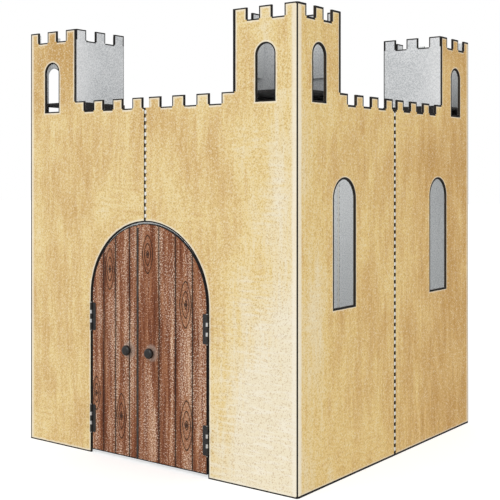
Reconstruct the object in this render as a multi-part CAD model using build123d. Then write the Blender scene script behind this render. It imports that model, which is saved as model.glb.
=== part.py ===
"""A child's play castle made from corrugated cardboard.

Four folded corner sheets are laced together in the middle of each wall. Three of them carry a
square corner tower, closed on the inner sides by a folded panel and underneath by a floor card.
The front wall has an arched doorway with two card doors on metal hinges.

Frame: millimetres, +Z up, front towards -Y, origin on the ground at the middle of the plan.
"""
from build123d import *
import math
import os

# ---------------------------------------------------------------- driving dimensions
# card and overall size
CARD = 7.0                    # double-wall corrugated card
FOLD = 2.0                    # inner radius of every fold
WIDTH = 1220.0                # plan, left to right
DEPTH = 1220.0                # plan, front to back
TOWER_TOP = 1522.0            # top of the tower merlons
WALL_TOP = 1258.0             # top of the wall merlons

# towers and battlements
TOWER = 244.0                 # side of a tower
NOTCH = 36.0                  # depth of a wall notch
TOWER_NOTCH = 39.0            # depth of a tower notch
TOWER_UNITS = 5               # merlon, notch, merlon, notch, merlon
WALL_UNITS = 7                # shoulder and alternating notches and merlons, tower to middle notch
MIDDLE_NOTCH = 0.3            # half of the middle notch, in wall units

# laced seams in the middle of the walls
FRONT_SEAM = -20.0            # the front seam lies left of the middle
SEAM_GAP = 3.0                # between two sheets
STITCH_PITCH = 25.0
STITCH_HIGH = 13.0            # width of the lacing tape
STITCH_WIDE = 10.0            # outer width across the two slots
TAPE = 1.5                    # thickness of the lacing tape
SLOT_CLEAR = 0.3              # around the tape in its slot
SEAM_MARGIN = 14.0            # from the end of a seam to its first stitch

# doorway and doors
DOOR_CENTRE = -12.0           # the doorway lies left of the middle
DOOR_WIDTH = 540.0
DOOR_TOP = 830.0
DOOR_SPLIT = -61.0            # where the two doors meet
JAMB_GAP = 5.0                # between door and doorway
SPLIT_GAP = 2.0               # between the two doors
DOOR_LIFT = 12.0              # under the doors
DOOR_CORNER = 9.0             # rounded top corner at the split
STRIP_WIDE = 8.5              # meeting strip on the right door
STRIP_THICK = 1.2

# windows
WINDOW_WIDE = 130.0
WINDOW_SILL = 560.0
WINDOW_TOP = 977.0
WINDOW_FROM_CORNER = 273.0    # corner to window middle
TOWER_WINDOW_WIDE = 70.0
TOWER_WINDOW_SILL = 1225.0
TOWER_WINDOW_TOP = 1403.0

# inside the towers
GLUE_FLAP = 143.0             # how far a sheet's flap runs back along the inner panel
GLUE_FLAP_BOTTOM = 1309.0
GLUE_FLAP_CORNER = 22.0
PANEL_SETBACK = 1.0           # inner panel's edge behind the wall's face
FLOOR_TAB = 60.0              # length of a floor tab
FLOOR_TAB_HIGH = 45.0
FLOOR_CLEAR = 0.3             # floor card to walls
FLOOR_SKIRT = 36.0            # folded-down skirt on the floor's two free edges

# hinges
HINGE_LOW = 123.0             # middle of the lower hinges
HINGE_HIGH = 487.0            # middle of the upper hinges
HINGE_LONG = 98.0
HINGE_WIDE = 20.0             # door plate, from the barrel's axis
HINGE_METAL = 1.6
BARREL_RADIUS = 4.0
PIN_RADIUS = 1.8
PIN_CLEAR = 0.05              # pin in a running knuckle
PIN_HEAD_RADIUS = 3.2
PIN_HEAD_HIGH = 1.6
KNUCKLE_GAP = 0.4
WALL_KNUCKLE = 13.0           # length of each of the two wall knuckles
END_KNUCKLE = 26.5            # length of each outer door knuckle
STRAP_REACH = 26.0            # wall strap on the inner face
STRAP_CLEAR = 0.3             # wall strap to the jamb and past the door knuckles
PLATE_CORNER = 4.0

# rivets
RIVET_RADIUS = 1.6
RIVET_CLEAR = 0.1
RIVET_HEAD_RADIUS = 3.6
RIVET_HEAD_HIGH = 1.3
RIVET_SPACING = 36.0
RIVETS_PER_PLATE = 3
RIVET_EDGE = 6.5              # rivet line to the free edge of the plate or strap

# knobs
KNOB_HIGH = 384.0
KNOB_LEFT = 36.0              # from the split
KNOB_RIGHT = 69.0
KNOB_RADIUS = 18.0
KNOB_DEPTH = 24.0
KNOB_NECK_RADIUS = 8.0
KNOB_NECK = 8.0
SCREW_RADIUS = 2.0
SCREW_CLEAR = 0.2
SCREW_HEAD_RADIUS = 5.0
SCREW_HEAD_HIGH = 3.0
SCREW_BITE = 12.0             # screw length inside the knob
WASHER_RADIUS = 11.0
WASHER_THICK = 1.2

# ---------------------------------------------------------------- worked out once
HALF_W = WIDTH / 2
HALF_D = DEPTH / 2
FRONT = -HALF_D               # outer face of the front wall
FRONT_IN = FRONT + CARD
JAMB_LEFT = DOOR_CENTRE - DOOR_WIDTH / 2
JAMB_RIGHT = DOOR_CENTRE + DOOR_WIDTH / 2
ARCH = DOOR_WIDTH / 2
SPRING = DOOR_TOP - ARCH      # where the arch starts
AXIS_Y = FRONT - BARREL_RADIUS
NOTCH_BOTTOM = WALL_TOP - NOTCH


def box(x0, x1, y0, y1, z0, z1):
    """A box from its limits."""
    return Pos((x0 + x1) / 2, (y0 + y1) / 2, (z0 + z1) / 2) * Box(abs(x1 - x0), abs(y1 - y0), abs(z1 - z0))


def cylinder(radius, length, at, axis="z"):
    """A cylinder whose middle is at a point, along x, y or z."""
    turn = {"x": Rotation(0, 90, 0), "y": Rotation(90, 0, 0), "z": Rotation(0, 0, 0)}[axis]
    return Pos(*at) * turn * Cylinder(radius, length)


def arched(width, sill, top, depth):
    """An upright block with a half-round top, through the plane y = 0, from y = -depth/2."""
    spring = top - width / 2
    straight = Pos(0, (sill + spring) / 2) * Rectangle(width, spring - sill)
    head = Pos(0, spring) * Circle(width / 2)
    outline = straight + head
    return Pos(0, depth / 2, 0) * Rotation(90, 0, 0) * extrude(outline, depth)


def write(shape, name):
    export_step(shape, f"parts/{name}.step")


# ---------------------------------------------------------------- corner sheets
class Corner:
    """One corner of the plan: the signs of its x and y, its two seams and whether it has a tower.

    A sheet is drawn in corner space, with the corner at the origin and both walls running along
    +u (the wall along x) and +v (the wall along y), and is then mirrored into place.
    """

    def __init__(self, name, sx, sy, tower):
        self.name = name
        self.sx = sx
        self.sy = sy
        self.tower = tower
        seam_x = FRONT_SEAM if sy < 0 else 0.0
        self.long_u = HALF_W - sx * seam_x - SEAM_GAP / 2
        self.long_v = HALF_D - SEAM_GAP / 2

    def place(self, shape):
        """Corner space to the castle's frame."""
        if self.sx > 0:
            shape = mirror(shape, Plane.YZ)
        if self.sy > 0:
            shape = mirror(shape, Plane.XZ)
        return Pos(self.sx * HALF_W, self.sy * HALF_D, 0) * shape


CORNERS = [
    Corner("front_left", -1, -1, True),
    Corner("front_right", 1, -1, True),
    Corner("rear_right", 1, 1, True),
    Corner("rear_left", -1, 1, False),
]


def folded(long_u, long_v, z0, z1, thick=CARD):
    """A card folded once: two walls along +u and +v, rounded at the fold."""
    outer = box(0, long_u, 0, thick, z0, z1) + box(0, thick, 0, long_v, z0, z1)
    fold_outer = outer.edges().filter_by(Axis.Z).group_by(lambda e: e.center().X + e.center().Y)[0]
    sheet = fillet(fold_outer, FOLD + thick)
    fold_inner = [e for e in sheet.edges().filter_by(Axis.Z)
                  if abs(e.center().X - thick) < 0.01 and abs(e.center().Y - thick) < 0.01]
    return fillet(fold_inner, FOLD)


def wall_notches(long, tower):
    """Where the wall's notches start and end, measured from the corner."""
    clear = long + SEAM_GAP / 2 - TOWER
    unit = clear / (WALL_UNITS + MIDDLE_NOTCH)
    spans = [(TOWER + unit * k, TOWER + unit * (k + 1)) for k in range(1, WALL_UNITS, 2)]
    spans.append((TOWER + unit * WALL_UNITS, long + SEAM_GAP))
    if not tower:
        step = -unit
        start = TOWER
        while start + 2 * step > 0:
            spans.append((start + step, start))
            start += 2 * step
    return spans


def tower_notches():
    """Where a tower's notches start and end, measured from the corner."""
    unit = TOWER / TOWER_UNITS
    return [(unit * k, unit * (k + 1)) for k in range(1, TOWER_UNITS, 2)]


def corner_sheet(corner):
    """One wall sheet: two half walls, the tower's outer sides and its two glue flaps."""
    top = TOWER_TOP if corner.tower else WALL_TOP
    sheet = folded(corner.long_u, corner.long_v, 0, top)
    cuts = []
    if corner.tower:
        cuts.append(box(TOWER, corner.long_u + 1, -1, CARD + 1, WALL_TOP, top + 1))
        cuts.append(box(-1, CARD + 1, TOWER, corner.long_v + 1, WALL_TOP, top + 1))
        for start, end in tower_notches():
            cuts.append(box(start, end, -1, CARD + 1, top - TOWER_NOTCH, top + 1))
            cuts.append(box(-1, CARD + 1, start, end, top - TOWER_NOTCH, top + 1))
    for start, end in wall_notches(corner.long_u, corner.tower):
        cuts.append(box(start, end, -1, CARD + 1, NOTCH_BOTTOM, WALL_TOP + 1))
    for start, end in wall_notches(corner.long_v, corner.tower):
        cuts.append(box(-1, CARD + 1, start, end, NOTCH_BOTTOM, WALL_TOP + 1))
    through = CARD + 20
    along_v = Rotation(0, 0, 90)
    if corner.tower:
        hole = arched(TOWER_WINDOW_WIDE, TOWER_WINDOW_SILL, TOWER_WINDOW_TOP, through)
        cuts.append(Pos(TOWER / 2, 0, 0) * hole)
        cuts.append(Pos(0, TOWER / 2, 0) * along_v * hole)
    cuts.append(Pos(0, WINDOW_FROM_CORNER, 0) * along_v
                * arched(WINDOW_WIDE, WINDOW_SILL, WINDOW_TOP, through))
    cuts += seam_slots(corner)
    sheet = sheet - cuts
    if corner.tower:
        for flap in glue_flaps():
            sheet = sheet + flap
    sheet = corner.place(sheet)
    if corner.sy < 0:
        sheet = sheet - door_hole()
    return sheet


def glue_flaps():
    """The two flaps folded back from a tower's free edges, inside its inner panel."""
    top = TOWER_TOP - TOWER_NOTCH - CARD
    flap = box(TOWER - CARD, TOWER, CARD / 2, CARD + GLUE_FLAP, GLUE_FLAP_BOTTOM, top)
    ends = flap.edges().filter_by(Axis.X).group_by(Axis.Y)[-1]
    flap = fillet(ends, GLUE_FLAP_CORNER)
    return [flap, mirror(flap, Plane((0, 0, 0), z_dir=(1, -1, 0)))]


def door_hole():
    hole = arched(DOOR_WIDTH, -1, DOOR_TOP, CARD + 20)
    return Pos(DOOR_CENTRE, FRONT, 0) * hole


# ---------------------------------------------------------------- laced seams
def arch_height(x):
    """Height of the doorway's edge above x."""
    return SPRING + math.sqrt(max(ARCH ** 2 - (x - DOOR_CENTRE) ** 2, 0))


def stitch_heights(front):
    """Middles of a seam's stitches, evenly spaced between its two ends."""
    low = (arch_height(FRONT_SEAM) if front else 0) + SEAM_MARGIN
    high = NOTCH_BOTTOM - SEAM_MARGIN
    count = int((high - low) / STITCH_PITCH) + 1
    slack = (high - low - (count - 1) * STITCH_PITCH) / 2
    return [low + slack + k * STITCH_PITCH for k in range(count)]


def seam_slots(corner):
    """The slots for the lacing near both free edges of a sheet, in corner space."""
    slots = []
    tall = STITCH_HIGH / 2 + SLOT_CLEAR
    near = STITCH_WIDE / 2 - TAPE - SLOT_CLEAR
    far = STITCH_WIDE / 2 + SLOT_CLEAR
    for long, along_u, front in ((corner.long_u, True, corner.sy < 0), (corner.long_v, False, False)):
        middle = long + SEAM_GAP / 2
        for z in stitch_heights(front):
            span = (middle - far, middle - near)
            if along_u:
                slots.append(box(*span, -1, CARD + 1, z - tall, z + tall))
            else:
                slots.append(box(-1, CARD + 1, *span, z - tall, z + tall))
    return slots


def seam_lacing(front):
    """One length of tape: a stitch outside, two legs through the card and a run inside.

    Drawn about x = 0 with the wall's outer face at y = 0 and the inside towards +y.
    """
    heights = stitch_heights(front)
    half = STITCH_WIDE / 2
    tall = STITCH_HIGH / 2
    run = box(-half, half, CARD, CARD + TAPE, heights[0] - tall, heights[-1] + tall)
    legs = []
    for z in heights:
        pad = box(-half, half, -TAPE, 0, z - tall, z + tall)
        pad = fillet(pad.edges().filter_by(Axis.Y), half * 0.8)
        legs.append(pad)
        for x0 in (-half, half - TAPE):
            legs.append(box(x0, x0 + TAPE, -TAPE / 2, CARD + TAPE / 2, z - tall + 3, z + tall - 3))
    return run + legs


def seam_places():
    """Name, front or not, and the placement of each of the four seams."""
    return [
        ("front", True, Pos(FRONT_SEAM, FRONT, 0)),
        ("right", False, Pos(HALF_W, 0, 0) * Rotation(0, 0, 90)),
        ("rear", False, Pos(0, HALF_D, 0) * Rotation(0, 0, 180)),
        ("left", False, Pos(-HALF_W, 0, 0) * Rotation(0, 0, -90)),
    ]


# ---------------------------------------------------------------- inside the towers
def tower_panel():
    """The folded panel that closes a tower's two inner sides, in corner space."""
    outer = TOWER + CARD
    reach = outer - PANEL_SETBACK
    panel = folded(reach, reach, WALL_TOP, TOWER_TOP)
    panel = Pos(outer, outer, 0) * Rotation(0, 0, 180) * panel
    cuts = []
    for start, end in tower_notches():
        cuts.append(box(start, end, TOWER - 1, outer + 1, TOWER_TOP - TOWER_NOTCH, TOWER_TOP + 1))
        cuts.append(box(TOWER - 1, outer + 1, start, end, TOWER_TOP - TOWER_NOTCH, TOWER_TOP + 1))
    return panel - cuts


def tower_floor():
    """The card under a tower, in corner space: glue tabs on the outer walls, a skirt on the free edges."""
    inner = CARD + FLOOR_CLEAR
    outer = TOWER + CARD
    floor = box(inner, outer, inner, outer, WALL_TOP - CARD, WALL_TOP)
    at_fold = floor.edges().filter_by(Axis.Z).group_by(lambda e: e.center().X + e.center().Y)[0]
    floor = fillet(at_fold, FOLD)
    for start in (inner + 2 * CARD, TOWER - FLOOR_TAB - CARD):
        tab = box(start, start + FLOOR_TAB, inner, inner + CARD, WALL_TOP - FLOOR_TAB_HIGH, WALL_TOP - CARD / 2)
        lower = tab.edges().filter_by(Axis.Y).group_by(Axis.Z)[0]
        tab = fillet(lower, CARD)
        floor = floor + tab + mirror(tab, Plane((0, 0, 0), z_dir=(1, -1, 0)))
    skirt = box(outer - CARD, outer, inner, outer, WALL_TOP - FLOOR_SKIRT, WALL_TOP - CARD / 2)
    return floor + skirt + mirror(skirt, Plane((0, 0, 0), z_dir=(1, -1, 0)))


# ---------------------------------------------------------------- doors
class Door:
    """One door: side is -1 for the left one and +1 for the right one."""

    def __init__(self, name, side, knob):
        self.name = name
        self.side = side
        self.jamb = JAMB_LEFT if side < 0 else JAMB_RIGHT
        self.axis_x = self.jamb - side * JAMB_GAP / 2
        self.hinge_edge = self.jamb - side * JAMB_GAP
        self.meeting_edge = DOOR_SPLIT + side * SPLIT_GAP / 2
        self.knob_x = DOOR_SPLIT + side * knob


DOORS = [Door("left", -1, KNOB_LEFT), Door("right", 1, KNOB_RIGHT)]


def door_leaf(door):
    """The card door with holes for its knob screw and its hinge rivets."""
    arch = arched(DOOR_WIDTH - 2 * JAMB_GAP, DOOR_LIFT, DOOR_TOP - JAMB_GAP, CARD)
    arch = Pos(DOOR_CENTRE, FRONT + CARD / 2, 0) * arch
    keep = box(door.meeting_edge, door.hinge_edge, FRONT, FRONT_IN, 0, DOOR_TOP)
    leaf = arch & keep
    top_corner = [e for e in leaf.edges().filter_by(Axis.Y)
                  if abs(e.center().X - door.meeting_edge) < 0.01 and e.center().Z > SPRING]
    leaf = fillet(top_corner, DOOR_CORNER)
    holes = [cylinder(SCREW_RADIUS + SCREW_CLEAR, 3 * CARD, (door.knob_x, FRONT, KNOB_HIGH), "y")]
    for x, z in plate_rivets(door):
        holes.append(cylinder(RIVET_RADIUS + RIVET_CLEAR, 3 * CARD, (x, FRONT, z), "y"))
    return leaf - holes


def meeting_strip(door):
    """The thin strip along the right door's meeting edge."""
    inner = door.meeting_edge
    top = SPRING + math.sqrt((ARCH - JAMB_GAP) ** 2 - (inner - DOOR_CENTRE) ** 2) - DOOR_CORNER - 2
    strip = box(inner, inner + door.side * STRIP_WIDE, FRONT - STRIP_THICK, FRONT, DOOR_LIFT, top)
    return strip


def rivet_offsets():
    """Rivet heights about a hinge's middle."""
    return [(k - (RIVETS_PER_PLATE - 1) / 2) * RIVET_SPACING for k in range(RIVETS_PER_PLATE)]


def plate_rivets(door):
    """Middles of the rivets in a door's two hinge plates."""
    x = door.axis_x - door.side * (HINGE_WIDE - RIVET_EDGE)
    return [(x, mid + off) for mid in (HINGE_LOW, HINGE_HIGH) for off in rivet_offsets()]


def strap_rivets(door):
    """Middles of the rivets in the two wall straps."""
    x = door.jamb + door.side * (STRAP_REACH - RIVET_EDGE)
    return [(x, mid + off) for mid in (HINGE_LOW, HINGE_HIGH) for off in rivet_offsets()]


# ---------------------------------------------------------------- hinges
def knuckle_spans(middle):
    """Heights of the three door knuckles and the two wall knuckles of a hinge."""
    low = middle - HINGE_LONG / 2
    high = middle + HINGE_LONG / 2
    a = low + END_KNUCKLE
    b = high - END_KNUCKLE
    gap = KNUCKLE_GAP / 2
    door = [(low, a - gap), (a + WALL_KNUCKLE + gap, b - WALL_KNUCKLE - gap), (b + gap, high)]
    wall = [(a + gap, a + WALL_KNUCKLE - gap), (b - WALL_KNUCKLE + gap, b - gap)]
    return door, wall


def knuckle(door, span, bore):
    """One rolled knuckle with its bore."""
    z0, z1 = span
    at = (door.axis_x, AXIS_Y, (z0 + z1) / 2)
    return cylinder(BARREL_RADIUS, z1 - z0, at) - cylinder(bore, z1 - z0 + 2, at)


def hinge_plate(door, middle):
    """The plate on the door's outer face with its three knuckles."""
    low = middle - HINGE_LONG / 2
    high = middle + HINGE_LONG / 2
    free = door.axis_x - door.side * HINGE_WIDE
    plate = box(door.axis_x, free, FRONT - HINGE_METAL, FRONT, low, high)
    corners = [e for e in plate.edges().filter_by(Axis.Y) if abs(e.center().X - free) < 0.01]
    plate = fillet(corners, PLATE_CORNER)
    door_spans, wall_spans = knuckle_spans(middle)
    for z0, z1 in wall_spans:
        reach = BARREL_RADIUS + KNUCKLE_GAP
        plate = plate - box(door.axis_x - reach, door.axis_x + reach, FRONT - 4 * BARREL_RADIUS, FRONT + 1,
                            z0 - KNUCKLE_GAP, z1 + KNUCKLE_GAP)
    for x, z in plate_rivets(door):
        if abs(z - middle) < HINGE_LONG / 2:
            plate = plate - cylinder(RIVET_RADIUS + RIVET_CLEAR, 3 * CARD, (x, FRONT, z), "y")
    bore = cylinder(PIN_RADIUS, HINGE_LONG + 2, (door.axis_x, AXIS_Y, middle))
    for span in door_spans:
        plate = plate + knuckle(door, span, PIN_RADIUS)
    return plate - bore


def wall_strap(door, middle):
    """The strap round the jamb: two knuckles outside, a web in the gap, a flange inside."""
    low = middle - HINGE_LONG / 2
    high = middle + HINGE_LONG / 2
    near = door.jamb - door.side * STRAP_CLEAR
    web_in = near - door.side * HINGE_METAL
    behind = FRONT_IN + HINGE_METAL
    strap = box(near, web_in, FRONT + STRAP_CLEAR, behind, low, high)
    flange = box(web_in, door.jamb + door.side * STRAP_REACH, FRONT_IN, behind, low, high)
    strap = strap + flange
    _, wall_spans = knuckle_spans(middle)
    for z0, z1 in wall_spans:
        strap = strap + box(near, web_in, AXIS_Y, FRONT + 1, z0, z1)
        strap = strap + cylinder(BARREL_RADIUS, z1 - z0, (door.axis_x, AXIS_Y, (z0 + z1) / 2))
    strap = strap - cylinder(PIN_RADIUS + PIN_CLEAR, HINGE_LONG + 2, (door.axis_x, AXIS_Y, middle))
    for x, z in strap_rivets(door):
        if abs(z - middle) < HINGE_LONG / 2:
            strap = strap - cylinder(RIVET_RADIUS + RIVET_CLEAR, 3 * CARD, (x, FRONT, z), "y")
    return strap


def hinge_pin(door, middle):
    """The pin, held by the door plate's knuckles, with a head at the top and one below."""
    pin = cylinder(PIN_RADIUS, HINGE_LONG, (door.axis_x, AXIS_Y, middle))
    for end in (-1, 1):
        z = middle + end * (HINGE_LONG / 2 + PIN_HEAD_HIGH / 2)
        pin = pin + cylinder(PIN_HEAD_RADIUS, PIN_HEAD_HIGH, (door.axis_x, AXIS_Y, z))
    return pin


def rivet(x, z, y_out, y_in):
    """A rivet with a domed outer head and a flat inner one."""
    shank = cylinder(RIVET_RADIUS, y_in - y_out, (x, (y_out + y_in) / 2, z), "y")
    outer = cylinder(RIVET_HEAD_RADIUS, RIVET_HEAD_HIGH, (x, y_out - RIVET_HEAD_HIGH / 2, z), "y")
    rim = outer.edges().filter_by(GeomType.CIRCLE).group_by(Axis.Y)[0]
    outer = fillet(rim, RIVET_HEAD_HIGH * 0.8)
    inner = cylinder(RIVET_HEAD_RADIUS, RIVET_HEAD_HIGH, (x, y_in + RIVET_HEAD_HIGH / 2, z), "y")
    return shank + outer + inner


# ---------------------------------------------------------------- knobs
def knob(door):
    """A turned knob: a neck against the door and a round head, bored for its screw."""
    head_deep = KNOB_DEPTH - KNOB_NECK
    head_y = FRONT - KNOB_NECK - head_deep / 2
    head = cylinder(KNOB_RADIUS, head_deep, (door.knob_x, head_y, KNOB_HIGH), "y")
    rims = head.edges().filter_by(GeomType.CIRCLE).sort_by(Axis.Y)
    head = fillet(rims[0], head_deep * 0.6)
    rims = head.edges().filter_by(GeomType.CIRCLE).sort_by(Axis.Y)
    head = fillet(rims[-1], head_deep * 0.25)
    neck = cylinder(KNOB_NECK_RADIUS, KNOB_NECK + 1, (door.knob_x, FRONT - (KNOB_NECK + 1) / 2, KNOB_HIGH), "y")
    hole = cylinder(SCREW_RADIUS, SCREW_BITE, (door.knob_x, FRONT - SCREW_BITE / 2, KNOB_HIGH), "y")
    return head + neck - hole


def knob_screw(door):
    """The screw that holds a knob from inside."""
    start = FRONT - SCREW_BITE
    end = FRONT_IN + WASHER_THICK
    shank = cylinder(SCREW_RADIUS, end - start, (door.knob_x, (start + end) / 2, KNOB_HIGH), "y")
    head = cylinder(SCREW_HEAD_RADIUS, SCREW_HEAD_HIGH, (door.knob_x, end + SCREW_HEAD_HIGH / 2, KNOB_HIGH), "y")
    rim = head.edges().filter_by(GeomType.CIRCLE).group_by(Axis.Y)[-1]
    head = fillet(rim, SCREW_HEAD_HIGH * 0.5)
    slot = box(door.knob_x - SCREW_HEAD_RADIUS, door.knob_x + SCREW_HEAD_RADIUS, end + SCREW_HEAD_HIGH - 1,
               end + SCREW_HEAD_HIGH + 1, KNOB_HIGH - 0.6, KNOB_HIGH + 0.6)
    return shank + head - slot


def knob_washer(door):
    """The wide washer under the screw's head."""
    at = (door.knob_x, FRONT_IN + WASHER_THICK / 2, KNOB_HIGH)
    return cylinder(WASHER_RADIUS, WASHER_THICK, at, "y") - cylinder(SCREW_RADIUS + SCREW_CLEAR, 3, at, "y")


# ---------------------------------------------------------------- write every piece
def build_walls():
    for corner in CORNERS:
        sheet = corner_sheet(corner)
        for door in DOORS:
            for x, z in strap_rivets(door):
                if corner.sy < 0:
                    sheet = sheet - cylinder(RIVET_RADIUS + RIVET_CLEAR, 3 * CARD, (x, FRONT, z), "y")
        write(sheet, f"{corner.name}_sheet")
        if corner.tower:
            write(corner.place(tower_panel()), f"{corner.name}_tower_panel")
            write(corner.place(tower_floor()), f"{corner.name}_tower_floor")
    for name, front, place in seam_places():
        write(place * seam_lacing(front), f"{name}_seam_lacing")


def build_doors():
    for door in DOORS:
        write(door_leaf(door), f"{door.name}_door")
        write(knob(door), f"{door.name}_knob")
        write(knob_screw(door), f"{door.name}_knob_screw")
        write(knob_washer(door), f"{door.name}_knob_washer")
        for level, middle in (("lower", HINGE_LOW), ("upper", HINGE_HIGH)):
            write(hinge_plate(door, middle), f"{door.name}_{level}_hinge_plate")
            write(wall_strap(door, middle), f"{door.name}_{level}_hinge_strap")
            write(hinge_pin(door, middle), f"{door.name}_{level}_hinge_pin")
        plates = [rivet(x, z, FRONT - HINGE_METAL, FRONT_IN) for x, z in plate_rivets(door)]
        straps = [rivet(x, z, FRONT, FRONT_IN + HINGE_METAL) for x, z in strap_rivets(door)]
        write(Compound(plates), f"{door.name}_door_rivets")
        write(Compound(straps), f"{door.name}_jamb_rivets")
        if door.side > 0:
            write(meeting_strip(door), "door_meeting_strip")


os.makedirs("parts", exist_ok=True)
build_walls()
build_doors()
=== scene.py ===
# %% [markdown]
# # A cardboard play castle
# The real object is folded from thick corrugated card, coloured by hand with crayons and inked with a
# marker along its edges. It could be modelled again from scratch here, but the frame already holds
# every sheet at its true size. So this file gives each piece its finish, and makes the small repeated
# pieces, which are the stitches and the rivets, as real meshes.

# %% Load the frame
import math
from types import SimpleNamespace

import bpy
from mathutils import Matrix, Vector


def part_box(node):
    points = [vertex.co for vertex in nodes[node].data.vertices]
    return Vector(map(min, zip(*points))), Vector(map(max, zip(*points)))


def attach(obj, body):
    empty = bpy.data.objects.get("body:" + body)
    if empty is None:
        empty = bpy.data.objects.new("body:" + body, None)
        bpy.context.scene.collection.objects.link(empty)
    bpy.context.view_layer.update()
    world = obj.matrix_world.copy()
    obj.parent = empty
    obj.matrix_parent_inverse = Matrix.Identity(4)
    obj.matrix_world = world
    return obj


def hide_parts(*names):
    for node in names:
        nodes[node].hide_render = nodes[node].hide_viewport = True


MM = 0.001
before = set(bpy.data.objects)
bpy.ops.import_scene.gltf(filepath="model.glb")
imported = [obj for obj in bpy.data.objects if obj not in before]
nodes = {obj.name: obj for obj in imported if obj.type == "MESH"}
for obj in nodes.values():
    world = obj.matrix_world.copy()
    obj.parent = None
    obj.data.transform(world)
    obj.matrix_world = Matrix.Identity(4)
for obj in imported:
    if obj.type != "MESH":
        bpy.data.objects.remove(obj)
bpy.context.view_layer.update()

# %% [markdown]
# ## Camera
# The eye is close, so the walls converge towards the sides. A tilted camera would make the uprights
# converge too, so this one stays level, and its film is shifted down instead.

# %% The camera
CAMERA_PLACE = (2.360, -3.181, 0.986)  # metres
CAMERA_AZIMUTH = 36.92                 # degrees round from the front
CAMERA_FILM = 36.0                     # millimetres wide
CAMERA_LENS = 73.25                    # millimetres
CAMERA_SHIFT = -0.147                  # of the film's width


def new_object(name, data):
    """An object in the scene, at the origin."""
    thing = bpy.data.objects.new(name, data)
    bpy.context.scene.collection.objects.link(thing)
    return thing


def make_camera():
    data = bpy.data.cameras.new("camera")
    data.lens = CAMERA_LENS
    data.sensor_width = CAMERA_FILM
    data.shift_y = CAMERA_SHIFT
    camera = new_object("camera", data)
    camera.location = CAMERA_PLACE
    camera.rotation_euler = (math.radians(90), 0, math.radians(CAMERA_AZIMUTH))
    bpy.context.scene.camera = camera
    return camera


print("camera at", tuple(make_camera().location))

# %% [markdown]
# ## Colours
# A colour is easiest to choose as sRGB hex, as on a paint chart. The shaders reckon in linear light,
# so one function turns every hex value to that.

# %% Hex to linear


def rgb(code):
    """sRGB hex to linear red, green, blue and alpha."""
    parts = [int(code[i:i + 2], 16) / 255 for i in (1, 3, 5)]
    linear = [c / 12.92 if c <= 0.04045 else ((c + 0.055) / 1.055) ** 2.4 for c in parts]
    return (*linear, 1.0)


INK = rgb("#1c1a19")
print("marker ink in linear light", INK)

# %% [markdown]
# ## Nodes
# Finishes and repeated shapes are both node trees. One small function adds any node with its settings
# and links and gives back its output, so that a tree reads as a list of steps.

# %% Add any node
MATH = "ShaderNodeMath"
VECTOR = "ShaderNodeVectorMath"
NOISE = "ShaderNodeTexNoise"
FADE = "ShaderNodeMapRange"
MIX = "ShaderNodeMix"
XYZ = "ShaderNodeCombineXYZ"
SPLIT = "ShaderNodeSeparateXYZ"
SOFT = {"interpolation_type": "SMOOTHSTEP"}     # a fade that eases in and out
EVERY = slice(None)                             # all of a node's outputs


def add(tree, kind, inputs=(), out=0, **settings):
    """Add a node, set it and link it. inputs are values or sockets, in order or by name or number."""
    node = tree.nodes.new(kind)
    for key, value in settings.items():
        setattr(node, key, value)
    pairs = inputs.items() if isinstance(inputs, dict) else enumerate(inputs)
    for key, value in pairs:
        if isinstance(value, bpy.types.NodeSocket):
            tree.links.new(value, node.inputs[key])
        else:
            node.inputs[key].default_value = value
    return node.outputs[out] if node.outputs else node


print("node kinds", MATH, NOISE, MIX)

# %% Start, coat and close a material
BUMP_STRENGTH = 0.15
PAPER_SHINE = {"Specular IOR Level": 0.25}    # paper and wax hardly shine


def new_material(name):
    """An empty material, its node tree and the piece's own coordinates."""
    material = bpy.data.materials.new(name)
    material.use_nodes = True
    tree = material.node_tree
    tree.nodes.clear()
    return material, tree, add(tree, "ShaderNodeTexCoord", out="Object")


def coated(tree, colour, *coats):
    """Lay coats over a colour. A coat is how much of it lies at a point, and its colour."""
    for share, coat in coats:
        colour = add(tree, MIX, {0: share, 6: colour, 7: coat}, out=2, data_type="RGBA")
    return colour


def close_material(tree, colour, roughness, grain, depth, **shine):
    """Send the colour and the bump of the grain to one shader."""
    bump = add(tree, "ShaderNodeBump", {"Height": grain, "Strength": BUMP_STRENGTH, "Distance": depth})
    sockets = {"Base Color": colour, "Roughness": roughness, "Normal": bump, **shine}
    surface = add(tree, "ShaderNodeBsdfPrincipled", sockets)
    add(tree, "ShaderNodeOutputMaterial", (surface,))


def put(material, *names):
    """Give a material to pieces of the frame."""
    for name in names:
        piece = nodes[name]
        piece.data.materials.clear()
        piece.data.materials.append(material)
    print(material.name, "on", len(names), "pieces")


# %% [markdown]
# ## Sizes that the finish follows
# The marker's line and the pale margin beside it follow the card's edges. They could be drawn as thin
# solids, but on the real castle they have no thickness, so the shader works out how far each point is
# from an edge. For that it needs the places of the folds, notches and openings, most of them from the
# boxes of the frame's pieces.

# %% Walls and towers


def middle_of(name):
    """The middle of a piece's box."""
    return [(a + b) / 2 for a, b in zip(*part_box(name))]


low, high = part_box("front_left_sheet")
HALF = -low[0]                      # from the middle to a wall's outer face
TOWER_TOP = high[2]
WALL_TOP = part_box("rear_left_sheet")[1][2]
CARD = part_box("left_door")[1][1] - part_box("left_door")[0][1]
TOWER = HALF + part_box("front_left_tower_panel")[1][0] - CARD
SEAM_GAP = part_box("front_right_sheet")[0][0] - high[0]
NOTCH = 36 * MM
TOWER_NOTCH = 39 * MM
TOWER_COLUMNS = 5                   # merlons and notches on one side of a tower
WALL_COLUMNS = 7.3                  # and from a tower to the seam
BARE_COLUMNS = -4.0                 # the low corner is plain up to this column
SKIN = 0.2 * MM                     # what lies nearer to a face counts as on it
print("half plan", HALF, "tower", TOWER, "card", CARD, "seam gap", SEAM_GAP)

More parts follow.
